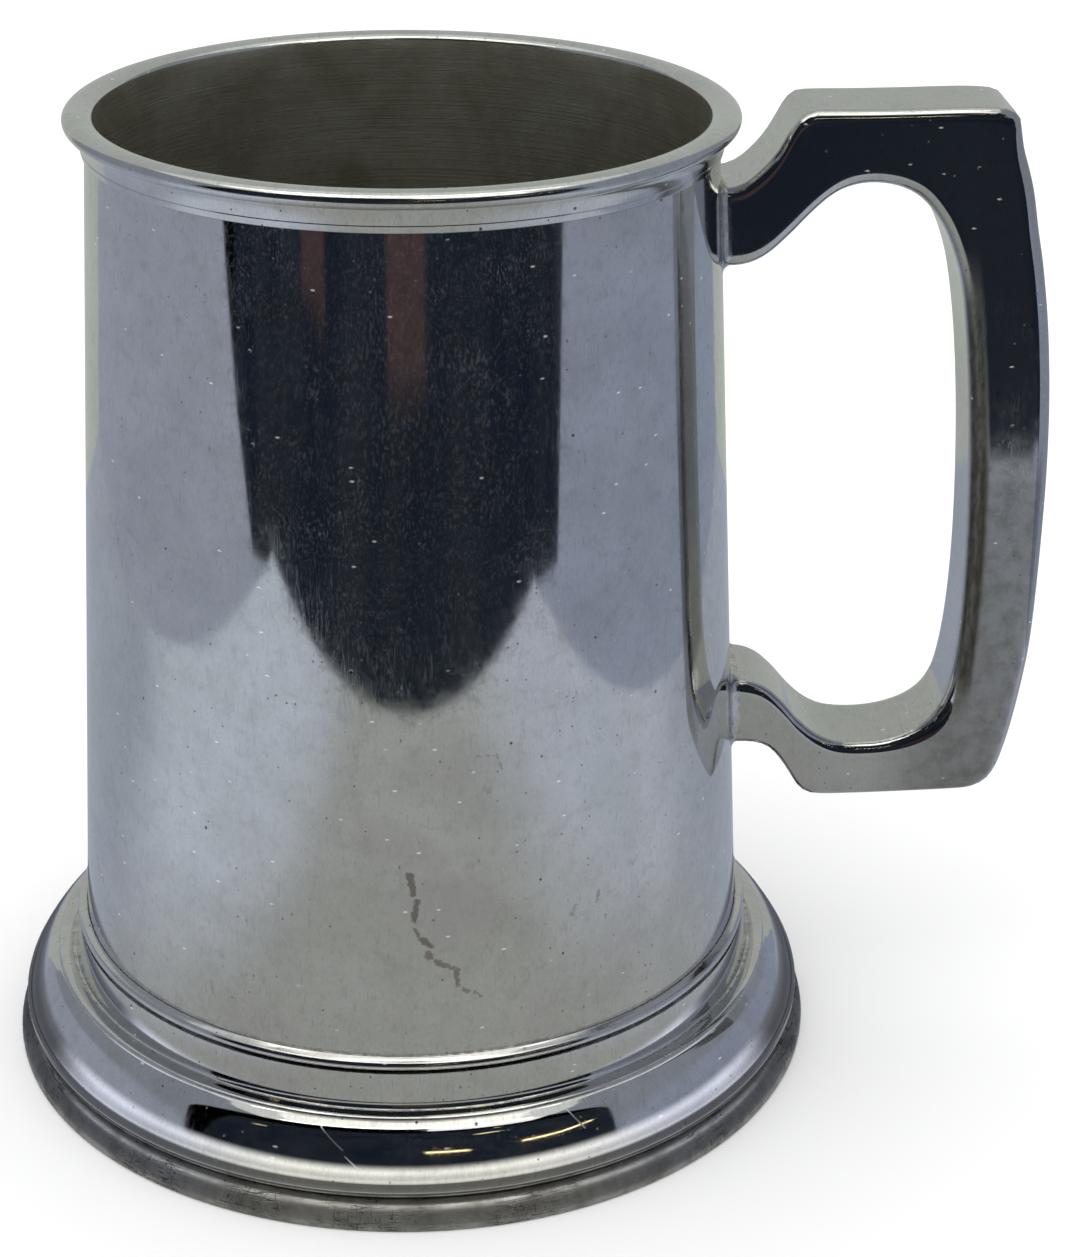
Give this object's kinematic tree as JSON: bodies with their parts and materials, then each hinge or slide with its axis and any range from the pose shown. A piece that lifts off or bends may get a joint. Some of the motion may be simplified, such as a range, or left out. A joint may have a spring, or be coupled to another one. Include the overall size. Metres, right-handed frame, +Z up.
{
  "type": "pewter tankard",
  "caption": "Straight tapered pint tankard with a rolled lip, a moulded hollow foot and a cast angular side handle.",
  "frame": {"origin": "centre of the footprint of the whole piece, handle included, on the plane it stands on", "axes": "+Z up along the barrel, +X from the barrel towards the handle, +Y across the handle; the barrel's own axis is at x = -13.65 mm"},
  "size_m": [0.134, 0.1066, 0.1255],
  "materials": {
    "polished_pewter": "polished pewter with fine wear scratches",
    "worn_pewter": "dull, scuffed pewter",
    "solder": "filed and buffed soft solder"
  },
  "bodies": {
    "root": {"barrel": "polished_pewter", "mouth_wire": "polished_pewter", "floor_disc": "worn_pewter", "foot_skirt": "polished_pewter", "foot_rest_band": "worn_pewter", "seam_bead": "polished_pewter", "handle": "polished_pewter", "upper_solder_fillet": "solder", "lower_solder_fillet": "solder"}
  },
  "joints": []
}
